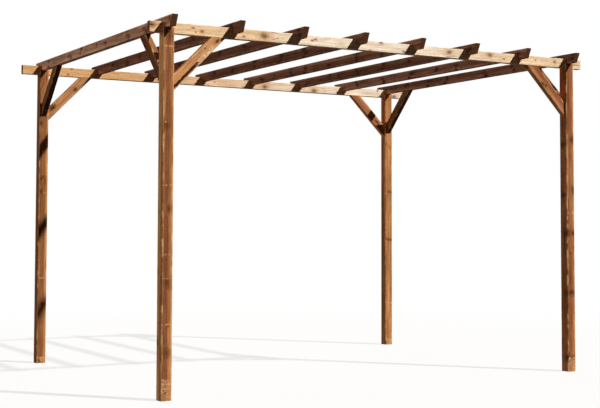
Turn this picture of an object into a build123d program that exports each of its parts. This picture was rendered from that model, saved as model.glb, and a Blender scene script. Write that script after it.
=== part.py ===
"""Wooden pergola: four posts, two beams, eight notched rafters and eight knee braces.

Lengths are millimetres. X runs along the beams, Y along the rafters from front to back, and Z is up.
The feet stand on Z = 0 and the plan is centred on the origin.
"""

import math
import os

from build123d import *

# Posts: planed square timber with eased arrises, on a rectangular plan
post_side = 70.0
post_height = 2221.0
post_arris = 4.0
bay_length = 3160.0
bay_width = 2345.0

# Beams: one along the front and one along the back, let down into the post heads
beam_depth = 68.0
beam_thickness = 40.0
beam_arris = 3.5
front_beam_overhang = 84.0
back_beam_overhang = 130.0
housing_depth = 34.0

# Rafters: notched over both beams, with tails that rake back towards the underside
rafter_count = 8
rafter_depth = 68.0
rafter_thickness = 40.0
rafter_arris = 3.5
rafter_overhang = 87.5
tail_rake = 32.0

# Knee braces: set at 45 degrees, the leg measured along the longer edge's foot
brace_depth = 68.0
brace_thickness = 40.0
brace_arris = 3.5
brace_leg = 350.0

# Places that follow from the sizes above
post_x = bay_length / 2
post_y = bay_width / 2
beam_underside = post_height - housing_depth
beam_run = bay_length + post_side
rafter_underside = post_height
rafter_notch = beam_depth - housing_depth
rafter_length = bay_width + post_side + 2 * rafter_overhang
rafter_pitch = bay_length / (rafter_count - 1)
brace_short_leg = brace_leg - brace_depth * math.sqrt(2)

left_right = {"left": -1, "right": 1}
front_back = {"front": -1, "back": 1}
beam_overhangs = {"front": front_beam_overhang, "back": back_beam_overhang}


def save(piece, name):
    """Names a finished piece and writes it as its own file."""
    piece.part.label = name
    export_step(piece.part, f"parts/{name}.step")


def make_post(name, x, y):
    """A post with an open housing across its head, as wide as the beam that drops into it."""
    with BuildPart() as post:
        with BuildSketch(Plane(origin=(x, y, 0))):
            RectangleRounded(post_side, post_side, post_arris)
        extrude(amount=post_height)
        with BuildSketch(Plane(origin=(x, y, post_height))):
            Rectangle(post_side, beam_thickness)
        extrude(amount=-housing_depth, mode=Mode.SUBTRACT)
    save(post, name)


def make_beam(name, y, overhang):
    """A straight beam with square ends that run on past the posts by the overhang."""
    beam_length = beam_run + 2 * overhang
    section = Plane(
        origin=(-beam_length / 2, y, beam_underside + beam_depth / 2),
        x_dir=(0, 1, 0),
        z_dir=(1, 0, 0),
    )
    with BuildPart() as beam:
        with BuildSketch(section):
            RectangleRounded(beam_thickness, beam_depth, beam_arris)
        extrude(amount=beam_length)
    save(beam, name)


def make_rafter(name, x):
    """A rafter with raked tails, notched from below where it crosses each beam."""
    side = Plane(origin=(x, 0, rafter_underside), x_dir=(0, 1, 0), z_dir=(1, 0, 0))
    half_top = rafter_length / 2
    half_bottom = half_top - tail_rake
    with BuildPart() as rafter:
        with BuildSketch(side):
            with BuildLine():
                Polyline(
                    (-half_bottom, 0),
                    (half_bottom, 0),
                    (half_top, rafter_depth),
                    (-half_top, rafter_depth),
                    close=True,
                )
            make_face()
        extrude(amount=rafter_thickness / 2, both=True)
        fillet(rafter.edges().filter_by(Axis.Y), rafter_arris)
        with BuildSketch(side):
            with Locations((-post_y, 0), (post_y, 0)):
                Rectangle(beam_thickness, rafter_notch, align=(Align.CENTER, Align.MIN))
        extrude(amount=rafter_thickness / 2, both=True, mode=Mode.SUBTRACT)
    save(rafter, name)


def make_brace(name, corner, inward):
    """A knee brace between a post's face and the rail above it, mitred flat against both.

    The corner is where the post's face meets the rail's underside, and inward points along the rail.
    """
    side = Plane(origin=corner, x_dir=inward, z_dir=Vector(inward).cross(Vector(0, 0, 1)))
    with BuildPart() as brace:
        with BuildSketch(side):
            with BuildLine():
                Polyline(
                    (0, -brace_leg),
                    (brace_leg, 0),
                    (brace_short_leg, 0),
                    (0, -brace_short_leg),
                    close=True,
                )
            make_face()
        extrude(amount=brace_thickness / 2, both=True)
        slope = Axis(corner, Vector(inward) + Vector(0, 0, 1))
        fillet(brace.edges().filter_by(slope), brace_arris)
    save(brace, name)


os.makedirs("parts", exist_ok=True)

for depth_name, y_side in front_back.items():
    make_beam(f"beam_{depth_name}", y_side * post_y, beam_overhangs[depth_name])
    for side_name, x_side in left_right.items():
        place = f"{depth_name}_{side_name}"
        x, y = x_side * post_x, y_side * post_y
        face_x, face_y = x - x_side * post_side / 2, y - y_side * post_side / 2
        make_post(f"post_{place}", x, y)
        make_brace(f"beam_brace_{place}", (face_x, y, beam_underside), (-x_side, 0, 0))
        make_brace(f"rafter_brace_{place}", (x, face_y, rafter_underside), (0, -y_side, 0))

for number in range(rafter_count):
    make_rafter(f"rafter_{number + 1}", number * rafter_pitch - post_x)
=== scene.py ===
"""Wooden pergola in treated softwood: the finish of its posts, beams, rafters and braces, and its screws.

Lengths are metres. X runs along the beams, Y along the rafters from front to back, and Z is up.
Each timber has its own coordinates, centred on it: along the grain, across its wide face and through it.
"""

import math

import bpy
from mathutils import Matrix, Vector


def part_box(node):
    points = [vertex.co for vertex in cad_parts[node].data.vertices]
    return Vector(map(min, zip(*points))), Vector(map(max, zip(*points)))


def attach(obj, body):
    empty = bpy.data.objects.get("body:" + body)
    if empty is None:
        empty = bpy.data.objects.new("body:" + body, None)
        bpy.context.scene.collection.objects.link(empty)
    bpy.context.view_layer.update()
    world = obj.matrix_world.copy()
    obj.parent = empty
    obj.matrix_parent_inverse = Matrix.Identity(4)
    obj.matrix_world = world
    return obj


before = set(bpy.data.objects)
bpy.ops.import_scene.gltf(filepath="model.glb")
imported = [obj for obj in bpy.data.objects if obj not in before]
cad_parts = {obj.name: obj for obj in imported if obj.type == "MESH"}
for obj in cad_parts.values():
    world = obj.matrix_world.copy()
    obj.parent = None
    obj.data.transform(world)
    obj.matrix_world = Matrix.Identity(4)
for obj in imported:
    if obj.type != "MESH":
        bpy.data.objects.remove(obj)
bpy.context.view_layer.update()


# Sizes read from the frame

post_low, post_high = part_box("post_front_left")
post_side = post_high.x - post_low.x
post_height = post_high.z - post_low.z
post_x = -(post_low.x + post_high.x) / 2
post_y = -(post_low.y + post_high.y) / 2

rail_low, rail_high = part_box("beam_front")
rail_depth = rail_high.z - rail_low.z
rail_thickness = rail_high.y - rail_low.y
cheek_depth = post_high.z - rail_low.z

left_right = {"left": -1, "right": 1}
front_back = {"front": -1, "back": 1}
corners = [(f"{depth}_{side}", x, y) for depth, y in front_back.items() for side, x in left_right.items()]

centre = (0.0, 0.0, 0.0)
up = Vector((0.0, 0.0, 1.0))


# Node helpers

noise_middle = 0.5
one_cell = (1.0, 1.0, 1.0)
plain_white = (1.0, 1.0, 1.0, 1.0)


def tone(red, green, blue):
    """A colour given as it looks on a screen, 0 to 255, as the shader wants it."""
    full_level = 255
    toe_end, toe_slope = 0.04045, 12.92
    lift, power = 0.055, 2.4

    def linear(level):
        share = level / full_level
        return share / toe_slope if share <= toe_end else ((share + lift) / (1.0 + lift)) ** power

    return (linear(red), linear(green), linear(blue), 1.0)


class Bench:
    """Lays nodes into one tree. An input takes a socket or a plain value."""

    def __init__(self, tree):
        self.tree = tree

    def lay(self, kind, inputs=(), **settings):
        node = self.tree.nodes.new(kind)
        for key, value in settings.items():
            setattr(node, key, value)
        for key, value in dict(inputs).items():
            self.feed(node.inputs[key], value)
        return node

    def feed(self, socket, value):
        if isinstance(value, bpy.types.NodeSocket):
            self.tree.links.new(value, socket)
        else:
            socket.default_value = value

    def math(self, operation, *values):
        return self.lay("ShaderNodeMath", enumerate(values), operation=operation).outputs[0]

    def plus(self, *values):
        total = values[0]
        for value in values[1:]:
            total = self.math("ADD", total, value)
        return total

    def times(self, *values):
        product = values[0]
        for value in values[1:]:
            product = self.math("MULTIPLY", product, value)
        return product

    def minus(self, first, second):
        return self.math("SUBTRACT", first, second)

    def either(self, first, second):
        return self.math("MAXIMUM", first, second)

    def size_of(self, value):
        return self.math("ABSOLUTE", value)

    def length(self, first, second):
        return self.math("SQRT", self.plus(self.times(first, first), self.times(second, second)))

    def rise(self, value, low, high):
        """0 up to low, 1 from high on, smooth between. It falls instead where low is above high."""
        inputs = {"Value": value, "From Min": low, "From Max": high, "To Min": 0.0, "To Max": 1.0}
        return self.lay("ShaderNodeMapRange", inputs, interpolation_type="SMOOTHSTEP").outputs[0]

    def swing(self, noise, height):
        """Noise about one half as a swing about zero, as tall as height from end to end."""
        return self.times(self.minus(noise, noise_middle), height)

    def vector(self, operation, first, second):
        return self.lay("ShaderNodeVectorMath", {0: first, 1: second}, operation=operation).outputs[0]

    def split(self, place):
        return self.lay("ShaderNodeSeparateXYZ", {0: place}).outputs

    def join(self, along, across, through):
        return self.lay("ShaderNodeCombineXYZ", {0: along, 1: across, 2: through}).outputs[0]

    def noise(self, place, cells, detail=2.0):
        """Smooth noise about one half; cells is how many it has in a metre along, across and through."""
        stretched = self.vector("MULTIPLY", place, cells)
        inputs = {"Vector": stretched, "Scale": 1.0, "Detail": detail}
        return self.lay("ShaderNodeTexNoise", inputs).outputs[0]

    def chance(self, first, second):
        """Three draws from 0 to 1 that depend on two numbers."""
        pair = self.join(first, second, 0.0)
        drawn = self.lay("ShaderNodeTexWhiteNoise", {"Vector": pair}, noise_dimensions="2D")
        return self.split(drawn.outputs["Color"])

    def mix(self, share, first, second):
        return self.lay("ShaderNodeMix", {0: share, 6: first, 7: second}, data_type="RGBA").outputs[2]

    def shade(self, colour, level):
        """The colour lighter or darker; a darker one is a warmer brown as well."""
        green_power, blue_power = 1.12, 1.25
        green, blue = self.math("POWER", level, green_power), self.math("POWER", level, blue_power)
        return self.vector("MULTIPLY", colour, self.join(level, green, blue))

    def place(self, group, inputs):
        return self.lay("ShaderNodeGroup", inputs, node_tree=group).outputs


def new_group(name, inputs, outputs):
    """An empty shader group with named sockets: its tree, its bench, what it is given and what it gives."""
    tree = bpy.data.node_groups.new(name, "ShaderNodeTree")
    for label, start in inputs.items():
        kind = "NodeSocketVector" if isinstance(start, tuple) else "NodeSocketFloat"
        tree.interface.new_socket(label, in_out="INPUT", socket_type=kind).default_value = start
    for label in outputs:
        tree.interface.new_socket(label, in_out="OUTPUT", socket_type="NodeSocketFloat")
    bench = Bench(tree)
    given = bench.lay("NodeGroupInput").outputs
    gives = bench.lay("NodeGroupOutput").inputs
    return tree, bench, given, gives


# Shader groups: what is in the wood

def make_growth_rings():
    """Growth rings about the pith, wavering along the trunk and parting round knots, with fibres between."""
    ring_width = 0.0062
    waver_cells, waver_height = (1.3, 8.0, 8.0), 0.016
    ripple_cells, ripple_height = (5.0, 60.0, 60.0), 0.0022
    parting_height = 0.008
    early_end, late_peak, late_end = 0.35, 0.86, 0.95
    band_cells, band_drift = 70.0, 0.6
    fibre_cells = (10.0, 420.0, 420.0)
    streak_cells = (3.4, 100.0, 100.0)

    tree, b, given, gives = new_group(
        "growth_rings",
        {"Timber": centre, "Sample": centre, "Pith": centre, "Lean": 0.0, "Parting": 0.0},
        ("Latewood", "Band", "Fibre", "Streak", "Radius"),
    )
    along, across, through = b.split(b.vector("SUBTRACT", given["Timber"], given["Pith"]))
    across = b.minus(across, b.times(given["Lean"], along))
    waver = b.swing(b.noise(given["Sample"], waver_cells), waver_height)
    ripple = b.swing(b.noise(given["Sample"], ripple_cells), ripple_height)
    parting = b.times(given["Parting"], parting_height)
    radius = b.plus(b.length(across, through), waver, ripple, parting)
    part_of_ring = b.math("FRACT", b.math("DIVIDE", radius, ring_width))
    latewood = b.times(b.rise(part_of_ring, early_end, late_peak), b.rise(part_of_ring, 1.0, late_end))
    sample_along, sample_across, _ = b.split(given["Sample"])
    band_place = b.join(
        b.times(radius, band_cells), b.times(sample_along, band_drift), b.math("FLOOR", sample_across)
    )
    b.feed(gives["Latewood"], latewood)
    b.feed(gives["Band"], b.noise(band_place, one_cell))
    b.feed(gives["Fibre"], b.noise(given["Sample"], fibre_cells, detail=3.0))
    b.feed(gives["Streak"], b.noise(given["Sample"], streak_cells, detail=3.0))
    b.feed(gives["Radius"], radius)
    return tree


def make_branch_knot():
    """One branch that runs out from the pith at an angle, thicker as it goes."""
    branch_rise = 0.25
    thin_share, thicken_length = 0.3, 0.06
    stretch_share = 0.5
    core_start, core_end = 1.05, 0.3
    rim_width = 0.4
    swirl_reach = 2.4

    tree, b, given, gives = new_group(
        "branch_knot",
        {"Along": 0.0, "Across": 0.0, "Through": 0.0, "Angle": 0.0, "Size": 0.01, "Ragged": 0.0},
        ("Core", "Rim", "Swirl"),
    )
    cosine, sine = b.math("COSINE", given["Angle"]), b.math("SINE", given["Angle"])
    outward = b.plus(b.times(given["Across"], cosine), b.times(given["Through"], sine))
    sideways = b.minus(b.times(given["Through"], cosine), b.times(given["Across"], sine))
    upward = b.minus(given["Along"], b.times(outward, branch_rise))
    thickness = b.plus(thin_share, b.math("DIVIDE", outward, thicken_length))
    radius = b.times(given["Size"], b.either(thickness, thin_share))
    reach = b.math("DIVIDE", b.length(sideways, b.times(upward, stretch_share)), radius)
    reach = b.plus(reach, given["Ragged"])
    on_branch_side = b.math("GREATER_THAN", outward, 0.0)
    from_rim = b.size_of(b.minus(reach, 1.0))
    b.feed(gives["Core"], b.times(b.rise(reach, core_start, core_end), on_branch_side))
    b.feed(gives["Rim"], b.times(b.rise(from_rim, rim_width, 0.0), on_branch_side))
    b.feed(gives["Swirl"], b.times(b.rise(reach, swirl_reach, 0.0), on_branch_side))
    return tree


def make_whorl_knots(branch_knot):
    """Rings of three branches at uneven distances along the trunk."""
    jitter = 0.5
    step_middle = 0.5
    branch_count = 3
    wander = 1.1
    smallest_share, size_spread = 0.5, 0.9
    ragged_cells, ragged_height = (60.0, 60.0, 60.0), 0.9

    tree, b, given, gives = new_group(
        "whorl_knots",
        {"Timber": centre, "Sample": centre, "Pith": centre, "Spacing": 0.4, "Size": 0.01, "Turn": 0.0,
         "Fan": 2.1, "Seed": 0.0},
        ("Core", "Rim", "Swirl"),
    )
    along, across, through = b.split(b.vector("SUBTRACT", given["Timber"], given["Pith"]))
    steps = b.plus(b.math("DIVIDE", along, given["Spacing"]), given["Seed"])
    whorl = b.math("FLOOR", steps)
    within = b.minus(steps, b.plus(whorl, step_middle))
    ragged = b.swing(b.noise(given["Sample"], ragged_cells), ragged_height)
    found = {"Core": 0.0, "Rim": 0.0, "Swirl": 0.0}
    shared_offset = 0.0
    for branch in range(branch_count):
        moved, turned, grown = b.chance(whorl, b.plus(given["Seed"], branch))
        own_offset = b.swing(moved, jitter if branch == 0 else jitter / branch_count)
        offset = b.plus(own_offset, shared_offset)
        if branch == 0:
            shared_offset = own_offset
        fan_place = branch - (branch_count - 1) / 2
        angle = b.plus(given["Turn"], b.times(given["Fan"], fan_place), b.swing(turned, wander))
        size = b.times(given["Size"], b.plus(smallest_share, b.times(grown, size_spread)))
        knot = b.place(branch_knot, {
            "Along": b.times(b.minus(within, offset), given["Spacing"]),
            "Across": across, "Through": through, "Angle": angle, "Size": size, "Ragged": ragged,
        })
        for label in found:
            found[label] = b.either(found[label], knot[label])
    for label, mask in found.items():
        b.feed(gives[label], mask)
    return tree


def make_face_knot():
    """One knot that goes straight through from face to face at a given place."""
    stretch_share = 0.7
    core_start, core_end = 1.0, 0.35
    rim_width = 0.45
    swirl_reach = 3.4
    ragged_cells, ragged_height = (55.0, 55.0, 30.0), 1.0

    tree, b, given, gives = new_group(
        "face_knot",
        {"Timber": centre, "Sample": centre, "Place": centre, "Size": 0.01},
        ("Core", "Rim", "Swirl"),
    )
    along, across, _ = b.split(b.vector("SUBTRACT", given["Timber"], given["Place"]))
    ragged = b.swing(b.noise(given["Sample"], ragged_cells), ragged_height)
    reach = b.math("DIVIDE", b.length(b.times(along, stretch_share), across), given["Size"])
    reach = b.plus(reach, ragged)
    b.feed(gives["Core"], b.rise(reach, core_start, core_end))
    b.feed(gives["Rim"], b.rise(b.size_of(b.minus(reach, 1.0)), rim_width, 0.0))
    b.feed(gives["Swirl"], b.rise(reach, swirl_reach, 0.0))
    return tree


# Shader groups: what tools, weather and use have done to it, and the painted highlight on its arrises

def make_worn_and_highlit_arrises():
    """Pale lines along the four arrises, ragged and broken along the length: partly rubbed wear, partly
    painted highlight where a rounded arris would catch the light.
    """
    ragged_cells = (16.0, 40.0, 40.0)
    broken_low, broken_high = 0.46, 0.62
    full_share = 0.25

    tree, b, given, gives = new_group(
        "worn_arrises",
        {"Timber": centre, "Sample": centre, "Half Across": 0.034, "Half Through": 0.02, "Reach": 0.008},
        ("Wear",),
    )
    _, across, through = b.split(given["Timber"])
    from_across = b.minus(given["Half Across"], b.size_of(across))
    from_through = b.minus(given["Half Through"], b.size_of(through))
    from_arris = b.either(from_across, from_through)
    ragged = b.noise(given["Sample"], ragged_cells, detail=4.0)
    near = b.rise(from_arris, given["Reach"], b.times(given["Reach"], full_share))
    b.feed(gives["Wear"], b.times(near, b.rise(ragged, broken_low, broken_high)))
    return tree


def make_drying_checks():
    """Thin dark splits that follow the grain, only here and there."""
    split_cells, split_half_width = (1.6, 34.0, 34.0), 0.016
    patch_cells = (2.4, 12.0, 12.0)
    patch_low, patch_high = 0.52, 0.62

    tree, b, given, gives = new_group("drying_checks", {"Sample": centre}, ("Split",))
    off_line = b.size_of(b.minus(b.noise(given["Sample"], split_cells, detail=1.0), noise_middle))
    patch = b.rise(b.noise(given["Sample"], patch_cells), patch_low, patch_high)
    b.feed(gives["Split"], b.times(b.rise(off_line, split_half_width, 0.0), patch))
    return tree


def make_saw_marks():
    """Faint slanting ripples left across the grain by the saw, stronger in patches, and torn rough fibres."""
    pitch, slant_share = 0.0062, 0.22
    half_swing = 0.5
    uneven_cells, uneven_height = (22.0, 14.0, 14.0), 9.0
    patch_cells = (2.2, 9.0, 9.0)
    patch_low, patch_high = 0.40, 0.64
    rough_cells = (75.0, 160.0, 160.0)

    tree, b, given, gives = new_group("saw_marks", {"Timber": centre, "Sample": centre}, ("Ripple", "Rough"))
    along, across, through = b.split(given["Timber"])
    slanted = b.plus(along, b.times(b.plus(across, through), slant_share))
    uneven = b.times(b.noise(given["Sample"], uneven_cells), uneven_height)
    turns = b.plus(b.math("DIVIDE", slanted, pitch / (2 * math.pi)), uneven)
    ripple = b.plus(half_swing, b.times(b.math("SINE", turns), half_swing))
    patch = b.rise(b.noise(given["Sample"], patch_cells), patch_low, patch_high)
    b.feed(gives["Ripple"], b.times(ripple, patch))
    b.feed(gives["Rough"], b.noise(given["Sample"], rough_cells, detail=2.0))
    return tree


def make_cross_mark():
    """A line or band across two faces of a timber at a given height, slanting, wavering and broken."""
    full_share, fade_share = 0.4, 2.4
    waver_cells, waver_height = (12.0, 45.0, 45.0), 0.006
    broken_cells = (6.0, 60.0, 60.0)
    broken_low, broken_high = 0.40, 0.60

    tree, b, given, gives = new_group(
        "cross_mark",
        {"Timber": centre, "Sample": centre, "Half Across": 0.035, "Half Through": 0.035, "Height": 0.0,
         "Slant": 0.0, "Width": 0.004},
        ("Mark",),
    )
    along, across, through = b.split(given["Timber"])
    slanted = b.plus(along, b.times(across, given["Slant"]))
    waver = b.swing(b.noise(given["Sample"], waver_cells), waver_height)
    off_line = b.size_of(b.minus(b.plus(slanted, waver), given["Height"]))
    line = b.rise(off_line, b.times(given["Width"], fade_share), b.times(given["Width"], full_share))
    broken = b.rise(b.noise(given["Sample"], broken_cells), broken_low, broken_high)
    across_share = b.math("DIVIDE", b.size_of(across), given["Half Across"])
    through_share = b.math("DIVIDE", b.size_of(through), given["Half Through"])
    on_face = b.math("GREATER_THAN", through_share, across_share)
    b.feed(gives["Mark"], b.times(line, broken, on_face))
    return tree


def make_weather_patches():
    """Broad soft patches where the stain took more or less, drawn out along the grain, and small specks."""
    broad_cells = (1.6, 9.0, 9.0)
    middle_cells = (8.0, 45.0, 45.0)
    middle_share = 0.5
    speck_cells = (110.0, 180.0, 180.0)
    speck_low, speck_high = 0.62, 0.72

    tree, b, given, gives = new_group("weather_patches", {"Sample": centre}, ("Patch", "Speck"))
    broad = b.noise(given["Sample"], broad_cells, detail=3.0)
    middle = b.noise(given["Sample"], middle_cells, detail=3.0)
    b.feed(gives["Patch"], b.plus(b.times(broad, 1.0 - middle_share), b.times(middle, middle_share)))
    b.feed(gives["Speck"], b.rise(b.noise(given["Sample"], speck_cells, detail=1.0), speck_low, speck_high))
    return tree


def make_foot_dust():
    """Pale dry soil splashed on the front and back of a post's foot, with scuffs across it."""
    ragged_cells, ragged_height = (9.0, 40.0, 40.0), 0.22
    full_share = 0.93
    scuff_cells = (95.0, 30.0, 30.0)
    scuff_low, scuff_high = 0.44, 0.66
    plain_share = 0.35

    tree, b, given, gives = new_group(
        "foot_dust", {"Timber": centre, "Sample": centre, "Foot": -1.0, "Height": 0.12}, ("Dust",)
    )
    along, across, through = b.split(given["Timber"])
    ragged = b.swing(b.noise(given["Sample"], ragged_cells), ragged_height)
    level = b.plus(b.math("DIVIDE", b.minus(along, given["Foot"]), given["Height"]), ragged)
    on_face = b.math("GREATER_THAN", b.size_of(through), b.size_of(across))
    scuff = b.rise(b.noise(given["Sample"], scuff_cells), scuff_low, scuff_high)
    dust = b.plus(plain_share, b.times(scuff, 1.0 - plain_share))
    b.feed(gives["Dust"], b.times(b.rise(level, 1.0, full_share), on_face, dust))
    return tree


growth_rings = make_growth_rings()
whorl_knots = make_whorl_knots(make_branch_knot())
face_knot = make_face_knot()
worn_arrises = make_worn_and_highlit_arrises()
drying_checks = make_drying_checks()
saw_marks = make_saw_marks()
cross_mark = make_cross_mark()
weather_patches = make_weather_patches()
foot_dust = make_foot_dust()


# Finishes: what each kind of timber looks like in plain light, apart from the painted highlight in the pale
# wear colour and the painted light on rafter 1

# The pale wear colour paints rubbed arrises together with their painted highlight, and pale marks on the
# wood.
post_finish = {
    "early": tone(188, 128, 80), "late": tone(130, 80, 48), "heart": tone(118, 70, 46),
    "sap": tone(224, 162, 100), "band": tone(144, 92, 54), "worn": tone(232, 186, 130),
    "knot": tone(64, 34, 20), "halo": tone(130, 80, 48), "end": tone(116, 78, 52),
}
red_post_finish = {
    **post_finish, "early": tone(189, 125, 79), "late": tone(132, 79, 49), "heart": tone(119, 69, 45),
    "sap": tone(214, 148, 93), "band": tone(146, 90, 56), "worn": tone(240, 196, 142),
}
beam_finish = {
    "early": tone(245, 206, 160), "late": tone(214, 164, 114), "heart": tone(222, 174, 122),
    "sap": tone(250, 217, 176), "band": tone(227, 183, 133), "worn": tone(254, 240, 214),
    "knot": tone(112, 62, 36), "halo": tone(196, 140, 92), "end": tone(126, 86, 58),
    "bleached": tone(254, 240, 220),
}
golden_beam_finish = {
    **beam_finish, "early": tone(230, 178, 122), "late": tone(198, 142, 90), "heart": tone(206, 150, 96),
    "sap": tone(236, 188, 134), "band": tone(208, 154, 100), "worn": tone(248, 214, 170),
    "halo": tone(184, 128, 80),
}
brace_finish = {
    "early": tone(194, 134, 88), "late": tone(148, 94, 59), "heart": tone(138, 84, 54),
    "sap": tone(212, 154, 104), "band": tone(158, 102, 65), "worn": tone(240, 200, 150),
    "knot": tone(64, 34, 20), "halo": tone(140, 90, 54), "end": tone(110, 74, 50),
}
rafter_finish = {
    "early": tone(168, 118, 90), "late": tone(120, 80, 60), "heart": tone(114, 74, 54),
    "sap": tone(184, 134, 104), "band": tone(126, 84, 62), "worn": tone(206, 158, 122),
    "knot": tone(46, 25, 17), "halo": tone(92, 56, 40), "end": tone(118, 77, 52),
}
# Rafter 1, the outer one on the open left, is paler: painted light for the extra light its open side gets.
painted_light_rafter_finish = {
    **rafter_finish, "early": tone(232, 182, 148), "late": tone(196, 146, 115), "heart": tone(186, 136, 106),
    "sap": tone(236, 194, 162), "band": tone(202, 152, 122), "knot": tone(92, 58, 42),
    "halo": tone(176, 126, 98),
}
dust_colour = tone(232, 182, 132)

timber_defaults = {
    "pith_lean": 0.006, "whorl_spacing": 0.42, "knot_size": 0.011, "face_knots": (),
    "ring_show": 0.85, "band_show": 0.7, "streak_show": 1.3, "rough_show": 0.5, "saw_show": 0.12,
    "heart_radius": 0.020, "heart_show": 0.85, "sap_radius": 0.050, "sap_show": 0.8,
    "stain_show": 1.5, "wear_reach": 0.009, "wear_show": 0.8, "level": 1.0,
    "side_knots": (), "pale_spots": (), "pale_lines": (), "dark_lines": (), "side_lines": (),
    "knot_show": 0.9, "swirl_show": 0.55,
}
post_saw_show = 0.05
whole_turn_fan = 2 * math.pi / 3
rail_fan = 0.45
rail_pith_depth = -0.045
rail_pith_drift = 0.014
rail_heart_radius = 0.034
rail_sap_radius = 0.062


def timber_turn(along, across):
    """A turn whose columns are the timber's own directions, as the Mapping node wants it."""
    along, across = Vector(along).normalized(), Vector(across).normalized()
    return Matrix((along, across, along.cross(across))).transposed().to_euler()


def middle_of(name):
    low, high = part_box(name)
    return (low + high) / 2


def post_timber(place, seed, **own):
    return {
        **timber_defaults, "name": f"post_{place}", "finish": post_finish, "seed": seed,
        "saw_show": post_saw_show,
        "middle": middle_of(f"post_{place}"), "turn": timber_turn((0, 0, 1), (1, 0, 0)),
        "half_across": post_side / 2, "half_through": post_side / 2,
        "knot_turn": seed, "knot_fan": whole_turn_fan, "foot": -post_height / 2, **own,
    }


def rail_timber(name, finish, seed, along, across, middle, **own):
    pith = own.pop("pith", (rail_pith_drift * math.sin(seed), rail_pith_depth))
    return {
        **timber_defaults, "name": name, "finish": finish, "seed": seed,
        "middle": middle, "turn": timber_turn(along, across),
        "half_across": rail_depth / 2, "half_through": rail_thickness / 2,
        "pith": pith, "heart_radius": rail_heart_radius, "sap_radius": rail_sap_radius,
        "knot_turn": math.atan2(-pith[1], -pith[0]), "knot_fan": rail_fan, **own,
    }


def timber_masks(b, timber):
    """Where everything is on one timber: its rings and knots, and what has happened to its surface."""
    seed_strides = (7.31, 3.77, 5.13)
    end_low, end_high = 0.55, 0.8
    mapping = b.lay("ShaderNodeMapping", {
        "Vector": b.lay("ShaderNodeTexCoord").outputs["Object"],
        "Location": timber["middle"], "Rotation": timber["turn"],
    }, vector_type="TEXTURE")
    own = mapping.outputs[0]
    seed = timber["seed"]
    sample = b.vector("ADD", own, tuple(seed * stride for stride in seed_strides))
    both = {"Timber": own, "Sample": sample}
    pith = (0.0, *timber["pith"])
    knots = dict(b.place(whorl_knots, {
        **both, "Pith": pith, "Spacing": timber["whorl_spacing"], "Size": timber["knot_size"],
        "Turn": timber["knot_turn"], "Fan": timber["knot_fan"], "Seed": seed,
    }).items())
    for along, across, size in timber["face_knots"]:
        one = b.place(face_knot, {**both, "Place": (along, across, 0.0), "Size": size})
        knots = {label: b.either(mask, one[label]) for label, mask in knots.items()}
    along, across, through = b.split(own)
    sideways = b.join(along, through, across)
    for along, through, size in timber["side_knots"]:
        place = {"Timber": sideways, "Sample": sample, "Place": (along, through, 0.0)}
        one = b.place(face_knot, {**place, "Size": size})
        knots = {label: b.either(mask, one[label]) for label, mask in knots.items()}
    masks = {"own": own, "sideways": sideways, "sample": sample, **knots}
    masks.update(b.place(growth_rings, {
        **both, "Pith": pith, "Lean": timber["pith_lean"], "Parting": knots["Swirl"],
    }).items())
    masks.update(b.place(worn_arrises, {
        **both, "Half Across": timber["half_across"], "Half Through": timber["half_through"],
        "Reach": timber["wear_reach"],
    }).items())
    masks.update(b.place(saw_marks, both).items())
    masks.update(b.place(drying_checks, {"Sample": sample}).items())
    masks.update(b.place(weather_patches, {"Sample": sample}).items())
    along_axis = timber["turn"].to_matrix().col[0]
    normal = b.lay("ShaderNodeNewGeometry").outputs["Normal"]
    facing = b.lay("ShaderNodeVectorMath", {0: normal, 1: along_axis}, operation="DOT_PRODUCT")
    masks["End"] = b.rise(b.size_of(facing.outputs["Value"]), end_low, end_high)
    return masks


def grown_colour(b, timber, masks):
    """The clean wood: rings, bands, heartwood and sapwood."""
    band_low, band_high = 0.40, 0.64
    heart_outer_share, heart_inner_share = 1.2, 0.8
    sap_start_share, sap_ring_share = 0.8, 0.35
    finish = timber["finish"]
    wood = b.mix(b.times(masks["Latewood"], timber["ring_show"]), finish["early"], finish["late"])
    band = b.rise(masks["Band"], band_low, band_high)
    wood = b.mix(b.times(band, timber["band_show"]), wood, finish["band"])
    heart_radius, sap_radius = timber["heart_radius"], timber["sap_radius"]
    heart = b.rise(masks["Radius"], heart_radius * heart_outer_share, heart_radius * heart_inner_share)
    wood = b.mix(b.times(heart, timber["heart_show"]), wood, finish["heart"])
    sap = b.rise(masks["Radius"], sap_radius * sap_start_share, sap_radius)
    sap_colour = b.mix(b.times(masks["Latewood"], sap_ring_share), finish["sap"], finish["early"])
    return b.mix(b.times(sap, timber["sap_show"]), wood, sap_colour)


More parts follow.
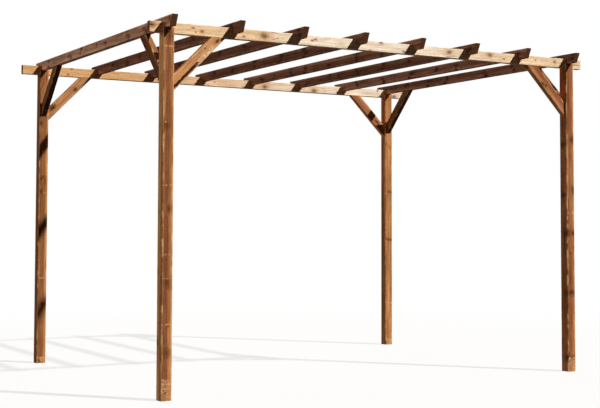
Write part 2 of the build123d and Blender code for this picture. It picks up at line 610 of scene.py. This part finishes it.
def weathered_colour(b, timber, masks, wood):
    """Uneven stain, rough fibres, pale arrises that are rubbed wear and painted highlight, knots, lines and
    splits over the clean wood; one line on a post is painted shade.
    """
    fibre_show, speck_show, split_show = 0.5, 0.3, 0.65
    rim_show, rim_level = 0.35, 0.7
    end_start, end_ring_drop, end_rough_show = 1.2, 0.6, 0.6
    finish = timber["finish"]
    level = b.times(
        b.plus(1.0, b.swing(masks["Streak"], timber["streak_show"])),
        b.plus(1.0, b.swing(masks["Fibre"], fibre_show)),
        b.plus(1.0, b.swing(masks["Patch"], timber["stain_show"])),
        b.plus(1.0, b.swing(masks["Rough"], timber["rough_show"])),
        b.minus(1.0, b.times(masks["Ripple"], timber["saw_show"])),
        b.minus(1.0, b.times(masks["Speck"], speck_show)),
        timber["level"],
    )
    wood = b.shade(wood, level)
    # Pale arrises: partly rubbed wear, partly painted highlight where a rounded arris would catch the light.
    wood = b.mix(b.times(masks["Wear"], timber["wear_show"]), wood, finish["worn"])
    wood = b.mix(b.times(masks["Swirl"], timber["swirl_show"]), wood, finish["halo"])
    wood = b.mix(b.times(masks["Core"], timber["knot_show"]), wood, finish["knot"])
    wood = b.mix(b.times(masks["Rim"], rim_show), wood, b.shade(finish["knot"][:3], rim_level))
    half_across, half_through = timber["half_across"], timber["half_through"]
    front = {"Timber": masks["own"], "Half Across": half_across, "Half Through": half_through}
    side = {"Timber": masks["sideways"], "Half Across": half_through, "Half Through": half_across}
    line_kinds = (("pale_lines", front, "worn"), ("dark_lines", front, "knot"), ("side_lines", side, "knot"))
    for along, across, size in timber["pale_spots"]:
        spot = b.place(face_knot, {
            "Timber": masks["own"], "Sample": masks["sample"], "Place": (along, across, 0.0), "Size": size,
        })
        wood = b.mix(spot["Core"], wood, finish["worn"])
    for kind, faces, colour in line_kinds:
        for height, slant, width, show in timber[kind]:
            mark = b.place(cross_mark, {
                **faces, "Sample": masks["sample"], "Height": height, "Slant": slant, "Width": width,
            })["Mark"]
            wood = b.mix(b.times(mark, show), wood, finish[colour])
    wood = b.shade(wood, b.minus(1.0, b.times(masks["Split"], split_show)))
    end_level = b.plus(
        end_start, b.times(masks["Latewood"], -end_ring_drop), b.swing(masks["Rough"], end_rough_show)
    )
    return b.mix(masks["End"], wood, b.shade(finish["end"][:3], end_level))


def soiled_foot(b, timber, masks, wood):
    """Dry soil at a post's foot, on the wood but not in its knots."""
    dust_show = 0.7
    dust = b.place(foot_dust, {
        "Timber": masks["own"], "Sample": masks["sample"], "Foot": timber["foot"],
        "Height": timber["dust_height"],
    })["Dust"]
    off_knots = b.minus(1.0, masks["Core"])
    return b.mix(b.times(dust, off_knots, dust_show), wood, dust_colour)


def torn_strip(b, timber, masks, wood):
    """A dark band along the lower edge of a brace, a pale strip of painted highlight outside it, and torn
    white fibres.
    """
    pocket_across, pocket_half, pocket_end = -0.0185, 0.0095, 0.03
    waver_cells, waver_height = (45.0, 60.0, 60.0), 0.010
    torn_across, torn_half = -0.018, 0.019
    torn_from, torn_to, torn_fade = -0.03, 0.16, 0.03
    torn_cells = (120.0, 60.0, 60.0)
    pocket_fade, pocket_full_share, pocket_show = 0.05, 0.75, 0.95
    highlight_strip_fade, highlight_strip_show = 0.003, 0.75
    torn_full_share = 0.6
    torn_low, torn_high, torn_show = 0.47, 0.57, 0.85
    highlight_strip_colour, pocket_colour, torn_colour = tone(226, 176, 122), tone(38, 19, 11), tone(248, 226, 192)
    along, across, _ = b.split(masks["own"])
    across = b.plus(across, b.swing(b.noise(masks["sample"], waver_cells), waver_height))
    near_post = b.rise(along, pocket_end, pocket_end - pocket_fade)
    from_pocket = b.size_of(b.minus(across, pocket_across))
    pocket = b.rise(from_pocket, pocket_half, pocket_half * pocket_full_share)
    pocket_edge = pocket_across - pocket_half
    highlight_strip = b.rise(across, pocket_edge, pocket_edge - highlight_strip_fade)
    # The pale strip outside the dark band is painted highlight, standing for the lit lower edge of the brace.
    wood = b.mix(b.times(highlight_strip, near_post, highlight_strip_show), wood, highlight_strip_colour)
    wood = b.mix(b.times(pocket, near_post, pocket_show), wood, pocket_colour)
    torn_zone = b.times(
        b.rise(along, torn_from, torn_from + torn_fade), b.rise(along, torn_to, torn_to - torn_fade),
        b.rise(b.size_of(b.minus(across, torn_across)), torn_half, torn_half * torn_full_share),
    )
    torn = b.rise(b.noise(masks["sample"], torn_cells, detail=3.0), torn_low, torn_high)
    return b.mix(b.times(torn, torn_zone, torn_show), wood, torn_colour)


def bleached_stretch(b, timber, masks, wood):
    """One stretch of a beam paler than the rest, easing off towards the right."""
    start, full, easing, eased = timber["bleached"]
    eased_share, plain_share = 0.75, 0.3
    along, _, _ = b.split(masks["own"])
    easing_off = b.minus(1.0, b.times(b.rise(along, easing, eased), eased_share))
    share = b.times(b.rise(along, start, full), easing_off, b.plus(plain_share, masks["Patch"]))
    return b.mix(share, wood, timber["finish"]["bleached"])


def timber_material(timber):
    """The whole finish of one timber."""
    fibre_height, ring_height, ripple_height = 0.5, 0.35, 3.0
    rough_height, knot_height, split_depth = 0.4, 0.6, 2.0
    bump_strength, bump_distance = 0.6, 0.0008
    plain_roughness, fibre_roughness, knot_polish, worn_roughness = 0.64, 0.2, 0.1, 0.05
    specular_level = 0.03
    material = bpy.data.materials.new(f"{timber['name']}_timber")
    material.use_nodes = True
    material.node_tree.nodes.clear()
    b = Bench(material.node_tree)
    masks = timber_masks(b, timber)
    wood = grown_colour(b, timber, masks)
    if "bleached" in timber:
        wood = bleached_stretch(b, timber, masks, wood)
    wood = weathered_colour(b, timber, masks, wood)
    for added in timber.get("marks", ()):
        wood = added(b, timber, masks, wood)
    height = b.plus(
        b.times(masks["Fibre"], fibre_height), b.times(masks["Latewood"], ring_height),
        b.times(masks["Ripple"], ripple_height * timber["saw_show"]), b.times(masks["Rough"], rough_height),
        b.times(masks["Core"], knot_height), b.times(masks["Split"], -split_depth),
    )
    bump = b.lay("ShaderNodeBump", {"Height": height, "Strength": bump_strength, "Distance": bump_distance})
    roughness = b.plus(
        plain_roughness, b.times(masks["Fibre"], fibre_roughness), b.times(masks["Core"], -knot_polish),
        b.times(masks["Wear"], worn_roughness),
    )
    shader = b.lay("ShaderNodeBsdfPrincipled", {
        "Base Color": wood, "Roughness": roughness, "Normal": bump.outputs[0],
        "Specular IOR Level": specular_level,
    })
    b.lay("ShaderNodeOutputMaterial", {"Surface": shader.outputs[0]})
    return material


# Timbers: what is particular to each one

# A knot or spot has its place along the grain, its place across the face and its size.
# A line has its place along the grain, its slant, its width and how strongly it shows.

post_boards = {
    "front_left": {
        "pith": (-0.008, -0.024), "heart_radius": 0.019, "sap_radius": 0.036, "sap_show": 0.5,
        "knot_size": 0.005, "knot_show": 0.6, "level": 1.24, "dust_height": 0.13,
        "wear_reach": 0.013, "wear_show": 1.0,
        "face_knots": ((0.522, -0.008, 0.018), (0.023, 0.006, 0.016), (-0.416, -0.002, 0.020),
                       (-0.829, -0.002, 0.020), (-1.047, -0.019, 0.007), (-1.064, -0.006, 0.006)),
        "pale_spots": ((-1.012, -0.023, 0.006), (-1.010, 0.016, 0.007)),
        "side_knots": ((-0.771, 0.024, 0.016), (-0.352, 0.026, 0.010)),
        # The wide dark line at the head is painted shade: the rafter tail's shadow over the top of the post.
        "dark_lines": ((1.07, 0.0, 0.035, 0.45),),
        "pale_lines": ((0.997, 0.0, 0.003, 0.7), (0.542, 0.03, 0.003, 0.55), (0.164, -0.02, 0.003, 0.65),
                       (-0.248, 0.04, 0.003, 0.5), (-0.390, 0.02, 0.002, 0.35), (-0.662, -0.03, 0.003, 0.65)),
    },
    "front_right": {
        "finish": red_post_finish, "pith": (-0.022, 0.006), "heart_radius": 0.026, "heart_show": 0.15,
        "sap_radius": 0.062, "knot_size": 0.005, "knot_show": 0.75, "level": 0.94, "dust_height": 0.1,
        "wear_reach": 0.012, "wear_show": 0.9,
        "pale_spots": ((-1.014, -0.020, 0.009), (-1.012, 0.020, 0.006)),
        "face_knots": ((0.556, 0.014, 0.018), (0.194, 0.028, 0.020), (-0.117, 0.022, 0.014),
                       (-0.548, 0.004, 0.018)),
        "side_knots": ((-0.121, -0.016, 0.020), (-0.548, -0.014, 0.020), (0.520, 0.008, 0.013),
                       (0.157, 0.004, 0.015), (-1.013, -0.022, 0.016)),
        "pale_lines": ((0.027, 0.0, 0.006, 0.55),),
        "side_lines": ((0.520, 0.05, 0.006, 0.6), (0.157, -0.04, 0.006, 0.6)),
    },
    "back_left": {
        "pith": (-0.020, -0.008), "heart_radius": 0.026, "sap_radius": 0.056, "dust_height": 0.05,
        "pale_lines": ((0.175, 0.03, 0.003, 0.5), (-0.470, -0.04, 0.003, 0.5)),
    },
    "back_right": {
        "finish": red_post_finish, "pith": (-0.006, 0.026), "heart_radius": 0.024, "sap_radius": 0.058,
        "knot_size": 0.006, "level": 0.95, "dust_height": 0.06,
        "pale_lines": ((-0.745, 0.03, 0.004, 0.5),),
        "dark_lines": ((0.640, 0.9, 0.012, 0.55), (0.238, 0.27, 0.008, 0.6), (-0.185, 0.1, 0.008, 0.6)),
    },
}
beam_boards = {
    "front": {
        "finish": beam_finish, "level": 1.06, "pith": (0.006, -0.050), "bleached": (-1.1, -0.5, 0.0, 1.2),
        "face_knots": ((-1.690, 0.010, 0.017), (-1.356, -0.006, 0.008), (-0.925, 0.001, 0.019),
                       (-0.050, 0.027, 0.008), (0.510, 0.007, 0.013), (0.862, 0.012, 0.013),
                       (1.273, 0.005, 0.0045), (1.452, 0.005, 0.008)),
    },
    "back": {
        "finish": golden_beam_finish, "pith": (-0.008, -0.050), "bleached": (-1.1, 1.3, 3.0, 4.0),
        "face_knots": ((-0.62, 0.004, 0.008), (0.336, -0.009, 0.015), (0.816, -0.015, 0.016),
                       (1.647, -0.020, 0.015)),
    },
}
beam_habit = {"knot_size": 0.003, "streak_show": 0.7, "stain_show": 1.0, "rough_show": 0.4, "knot_show": 0.75}
brace_boards = {
    "beam_brace_front_left": {
        "level": 1.1, "knot_size": 0.003, "marks": (torn_strip,),
        "face_knots": ((0.190, -0.010, 0.010), (-0.215, 0.010, 0.008)),
    },
    "beam_brace_front_right": {
        "level": 1.26, "streak_show": 2.0, "face_knots": ((0.054, -0.018, 0.011), (0.030, -0.010, 0.009)),
    },
    "beam_brace_back_left": {"level": 0.85, "face_knots": ((0.084, -0.006, 0.012),)},
    "beam_brace_back_right": {"level": 1.55},
    "rafter_brace_front_left": {"level": 0.52},
    "rafter_brace_back_left": {"level": 0.31},
}
brace_levels = {"beam": 0.95, "rafter": 0.42}
rafter_levels = (0.97, 0.88, 0.96, 0.98, 1.22, 0.94, 1.55, 1.02)
rafter_habit = {
    "knot_size": 0.012, "swirl_show": 0.7, "whorl_spacing": 0.36, "streak_show": 1.9, "stain_show": 2.1,
}
rafter_boards = {
    1: {"dark_lines": ((0.190, 0.05, 0.003, 0.7), (-0.484, 0.15, 0.003, 0.7), (0.62, -0.1, 0.003, 0.5)),
        "face_knots": ((-0.033, 0.008, 0.012), (-1.115, -0.002, 0.011), (0.86, -0.006, 0.009))},
    2: {"face_knots": ((0.294, 0.003, 0.014),)},
    4: {"face_knots": ((-0.540, -0.007, 0.015),)},
    6: {"face_knots": ((0.625, 0.018, 0.013),)},
    7: {"face_knots": ((0.104, 0.010, 0.014),)},
}

post_seed, brace_seed, brace_seed_step, beam_seed, rafter_seed = 1, 20, 10, 40, 50


def rafter_lines(number):
    """Thin dark lines across a rafter, at uneven distances that differ from rafter to rafter."""
    line_count = 4
    first_place, pitch, spread = -1.0, 0.6, 0.24
    slant, width, show = 0.1, 0.003, 0.35
    place_turn, line_turn, slant_turn = 7, 5, 3
    for line in range(line_count):
        place = first_place + pitch * line + spread * math.sin(place_turn * number + line_turn * line)
        yield place, slant * math.sin(slant_turn * number + line), width, show


timbers = []
braces = []
for number, (place, x_side, y_side) in enumerate(corners):
    timbers.append(post_timber(place, post_seed + number, marks=(soiled_foot,), **post_boards[place]))
    for offset, (rail, inward) in enumerate((("beam", (-x_side, 0, 0)), ("rafter", (0, -y_side, 0)))):
        name = f"{rail}_brace_{place}"
        along, across = up + Vector(inward), up - Vector(inward)
        middle = middle_of(name) + across.normalized() * rail_depth / 2
        own = {"level": brace_levels[rail], **brace_boards.get(name, {})}
        seed = brace_seed + brace_seed_step * offset + number
        timbers.append(rail_timber(name, brace_finish, seed, along, across, middle, **own))
        braces.append((middle, along.normalized(), across.normalized()))
for number, depth in enumerate(front_back):
    name = f"beam_{depth}"
    timbers.append(rail_timber(
        name, seed=beam_seed + number, along=(1, 0, 0), across=(0, 0, 1), middle=middle_of(name),
        **beam_habit, **beam_boards[depth],
    ))
for number, level in enumerate(rafter_levels, start=1):
    name = f"rafter_{number}"
    # Rafter 1 takes the paler finish that holds painted light.
    finish = painted_light_rafter_finish if number == 1 else rafter_finish
    own = {"dark_lines": tuple(rafter_lines(number)), **rafter_habit, **rafter_boards.get(number, {})}
    timbers.append(rail_timber(
        name, finish, rafter_seed + number, (0, 1, 0), (0, 0, 1), middle_of(name), level=level, **own,
    ))

for timber in timbers:
    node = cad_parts[timber["name"]]
    node.data.materials.clear()
    node.data.materials.append(timber_material(timber))


# Screws: one through each outer cheek into the beam, and one at each end of a brace

def zinc_finish():
    """Dull zinc plating with a few darker blotches."""
    blotch_cells = (900.0, 900.0, 900.0)
    blotch_low, blotch_high = 0.45, 0.7
    bright, dull = tone(206, 204, 198), tone(140, 134, 126)
    bright_roughness, blotch_roughness = 0.30, 0.3
    material = bpy.data.materials.new("zinc_screw")
    material.use_nodes = True
    material.node_tree.nodes.clear()
    b = Bench(material.node_tree)
    place = b.lay("ShaderNodeTexCoord").outputs["Object"]
    blotch = b.noise(place, blotch_cells, detail=3.0)
    shader = b.lay("ShaderNodeBsdfPrincipled", {
        "Base Color": b.mix(b.rise(blotch, blotch_low, blotch_high), bright, dull),
        "Roughness": b.plus(bright_roughness, b.times(blotch, blotch_roughness)), "Metallic": 1.0,
    })
    b.lay("ShaderNodeOutputMaterial", {"Surface": shader.outputs[0]})
    return material


def make_screw_heads():
    """Geometry nodes that stand a pan head with a cross recess on every point, turned to its facing."""
    sizes = {
        "Head Radius": ("NodeSocketFloat", 0.006), "Head Height": ("NodeSocketFloat", 0.0028),
        "Crown Share": ("NodeSocketFloat", 0.62), "Recess Width": ("NodeSocketFloat", 0.0011),
        "Recess Share": ("NodeSocketFloat", 0.95), "Seed": ("NodeSocketInt", 7),
    }
    head_sides, side_rings = 20, 3
    both_ways = 2.0
    tree = bpy.data.node_groups.new("screw_heads", "GeometryNodeTree")
    tree.interface.new_socket("Geometry", in_out="INPUT", socket_type="NodeSocketGeometry")
    for label, (kind, start) in sizes.items():
        tree.interface.new_socket(label, in_out="INPUT", socket_type=kind).default_value = start
    tree.interface.new_socket("Finish", in_out="INPUT", socket_type="NodeSocketMaterial")
    tree.interface.new_socket("Geometry", in_out="OUTPUT", socket_type="NodeSocketGeometry")
    b = Bench(tree)
    given = b.lay("NodeGroupInput").outputs
    crown = b.times(given["Head Radius"], given["Crown Share"])
    head = b.lay("GeometryNodeMeshCone", {
        "Vertices": head_sides, "Side Segments": side_rings, "Radius Top": crown,
        "Radius Bottom": given["Head Radius"], "Depth": given["Head Height"],
    }).outputs["Mesh"]
    reach = b.times(crown, given["Recess Share"], both_ways)
    lift = b.join(0.0, 0.0, given["Head Height"])
    slots = b.lay("GeometryNodeJoinGeometry")
    for slot_size in (
        b.join(reach, given["Recess Width"], given["Head Height"]),
        b.join(given["Recess Width"], reach, given["Head Height"]),
    ):
        slot = b.lay("GeometryNodeMeshCube", {"Size": slot_size}).outputs["Mesh"]
        raised = b.lay("GeometryNodeTransform", {"Geometry": slot, "Translation": lift}).outputs["Geometry"]
        b.feed(slots.inputs["Geometry"], raised)
    cut = b.lay("GeometryNodeMeshBoolean", {"Mesh 1": head, "Mesh 2": slots.outputs["Geometry"]},
                operation="DIFFERENCE").outputs["Mesh"]
    facing = b.lay("GeometryNodeInputNamedAttribute", {"Name": "facing"}, data_type="FLOAT_VECTOR")
    turned = b.lay("FunctionNodeAlignRotationToVector", {"Vector": facing.outputs["Attribute"]}, axis="Z")
    drawn = b.lay("FunctionNodeRandomValue", {"Max": math.pi, "Seed": given["Seed"]}, data_type="FLOAT")
    spin_angle = next(socket for socket in drawn.outputs if socket.enabled)
    spin = b.lay("FunctionNodeAxisAngleToRotation", {"Axis": up, "Angle": spin_angle})
    rotation = b.lay("FunctionNodeRotateRotation", {
        "Rotation": turned.outputs["Rotation"], "Rotate By": spin.outputs["Rotation"],
    }, rotation_space="LOCAL")
    placed = b.lay("GeometryNodeInstanceOnPoints", {
        "Points": given["Geometry"], "Instance": cut, "Rotation": rotation.outputs["Rotation"],
    })
    whole = b.lay("GeometryNodeRealizeInstances", {"Geometry": placed.outputs["Instances"]})
    finished = b.lay("GeometryNodeSetMaterial", {
        "Geometry": whole.outputs["Geometry"], "Material": given["Finish"],
    })
    b.lay("NodeGroupOutput", {"Geometry": finished.outputs["Geometry"]})
    return tree


def screw_places():
    """Where each screw sits and which way its head faces."""
    cheek_offsets = {"front_left": -0.003, "front_right": -0.017, "back_left": 0.008, "back_right": -0.006}
    cheek_drop_share = 0.6
    brace_reach = 0.185
    for place, x_side, y_side in corners:
        x = x_side * post_x + cheek_offsets[place]
        y = y_side * (post_y + post_side / 2)
        yield Vector((x, y, post_height - cheek_depth * cheek_drop_share)), Vector((0, y_side, 0))
    for middle, along, across in braces:
        for end in (-1, 1):
            yield middle + along * brace_reach * end - across * rail_depth / 2, -across


def make_screws():
    places, facings = zip(*screw_places())
    points = bpy.data.meshes.new("screw_points")
    points.from_pydata(places, [], [])
    attribute = points.attributes.new("facing", "FLOAT_VECTOR", "POINT")
    for number, facing in enumerate(facings):
        attribute.data[number].vector = facing
    holder = bpy.data.objects.new("screw_points", points)
    bpy.context.scene.collection.objects.link(holder)
    tree = make_screw_heads()
    modifier = holder.modifiers.new("screw_heads", "NODES")
    modifier.node_group = tree
    finish_socket = next(item for item in tree.interface.items_tree if item.name == "Finish")
    modifier[finish_socket.identifier] = zinc_finish()
    depsgraph = bpy.context.evaluated_depsgraph_get()
    mesh = bpy.data.meshes.new_from_object(holder.evaluated_get(depsgraph), depsgraph=depsgraph)
    mesh.name = "screws"
    bpy.data.objects.remove(holder)
    screws = bpy.data.objects.new("screws", mesh)
    bpy.context.scene.collection.objects.link(screws)
    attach(screws, "root")


make_screws()


# Studio: floor, light and camera

def add_sun(name, toward, strength, colour, softness):
    """A lamp as far away as the sun, seen in the given direction, as wide as softness in degrees."""
    lamp = bpy.data.lights.new(name, "SUN")
    lamp.energy = strength
    lamp.color = colour
    lamp.angle = math.radians(softness)
    lamp_object = bpy.data.objects.new(name, lamp)
    lamp_object.rotation_euler = Vector(toward).to_track_quat("Z", "Y").to_euler()
    bpy.context.scene.collection.objects.link(lamp_object)


lamps = {
    "key_light": {
        "toward": (0.83, -1.0, 1.13), "strength": 4.4, "colour": (1.0, 0.965, 0.91), "softness": 1.6,
    },
    "left_light": {
        "toward": (-1.0, 0.2, 0.2), "strength": 1.1, "colour": (1.0, 0.98, 0.96), "softness": 40.0,
    },
    "back_light": {
        "toward": (0.5, 1.2, 0.25), "strength": 1.3, "colour": (0.97, 0.98, 1.0), "softness": 40.0,
    },
}
for name, lamp in lamps.items():
    add_sun(name, **lamp)


def seen_directly(b):
    """1 for what the camera sees straight on, in a reflection or through glass."""
    path = b.lay("ShaderNodeLightPath").outputs
    return b.either(path["Is Camera Ray"], b.either(path["Is Glossy Ray"], path["Is Transmission Ray"]))


def make_sky():
    sky_level, sky_tint = 0.017, (1.0, 0.62, 0.38, 1.0)
    world = bpy.data.worlds.new("studio_sky")
    world.use_nodes = True
    world.node_tree.nodes.clear()
    b = Bench(world.node_tree)
    soft = b.lay("ShaderNodeBackground", {"Color": sky_tint, "Strength": sky_level})
    white = b.lay("ShaderNodeBackground", {"Color": plain_white, "Strength": 1.0})
    both = b.lay("ShaderNodeMixShader", {0: seen_directly(b), 1: soft.outputs[0], 2: white.outputs[0]})
    b.lay("ShaderNodeOutputWorld", {"Surface": both.outputs[0]})
    bpy.context.scene.world = world


def make_floor():
    """A wide floor that fades to white away from the pergola and keeps its shadow."""
    half_width = 60.0
    drop = 0.0005
    near, far = 2.5, 8.0
    white_share_near = 0.76
    pale_colour = (0.88, 0.88, 0.88, 1.0)
    bounce_colour = (0.050, 0.034, 0.023, 1.0)
    mesh = bpy.data.meshes.new("floor")
    mesh.from_pydata(
        [(x * half_width, y * half_width, -drop) for x, y in ((-1, -1), (1, -1), (1, 1), (-1, 1))],
        [], [(0, 1, 2, 3)],
    )
    floor = bpy.data.objects.new("floor", mesh)
    bpy.context.scene.collection.objects.link(floor)
    material = bpy.data.materials.new("pale_floor")
    material.use_nodes = True
    material.node_tree.nodes.clear()
    b = Bench(material.node_tree)
    place = b.split(b.lay("ShaderNodeTexCoord").outputs["Object"])
    away = b.rise(b.length(place[0], place[1]), near, far)
    white_share = b.plus(white_share_near, b.times(away, 1.0 - white_share_near))
    pale = b.lay("ShaderNodeBsdfDiffuse", {"Color": pale_colour})
    white = b.lay("ShaderNodeEmission", {"Color": plain_white, "Strength": 1.0})
    shown = b.lay("ShaderNodeMixShader", {0: white_share, 1: pale.outputs[0], 2: white.outputs[0]})
    bounce = b.lay("ShaderNodeBsdfDiffuse", {"Color": bounce_colour})
    both = b.lay("ShaderNodeMixShader", {0: seen_directly(b), 1: bounce.outputs[0], 2: shown.outputs[0]})
    b.lay("ShaderNodeOutputMaterial", {"Surface": both.outputs[0]})
    mesh.materials.append(material)


def make_camera():
    eye = Vector((-4.5335, -7.9341, 1.0168))
    yaw, pitch, roll = 29.843, 2.903, 0.150
    level_tilt = 90.0
    sensor_width, lens, lens_drop = 36.0, 73.716, 0.06241
    camera = bpy.data.cameras.new("camera")
    camera.sensor_fit = "HORIZONTAL"
    camera.sensor_width = sensor_width
    camera.lens = lens
    camera.shift_y = -lens_drop
    camera_object = bpy.data.objects.new("camera", camera)
    tilted = Matrix.Rotation(math.radians(level_tilt + pitch), 4, "X")
    rolled = Matrix.Rotation(math.radians(roll), 4, "Z")
    turned = Matrix.Rotation(math.radians(-yaw), 4, "Z") @ tilted @ rolled
    camera_object.matrix_world = Matrix.Translation(eye) @ turned
    bpy.context.scene.collection.objects.link(camera_object)
    bpy.context.scene.camera = camera_object


make_sky()
make_floor()
make_camera()
bpy.context.scene.view_settings.view_transform = "Standard"
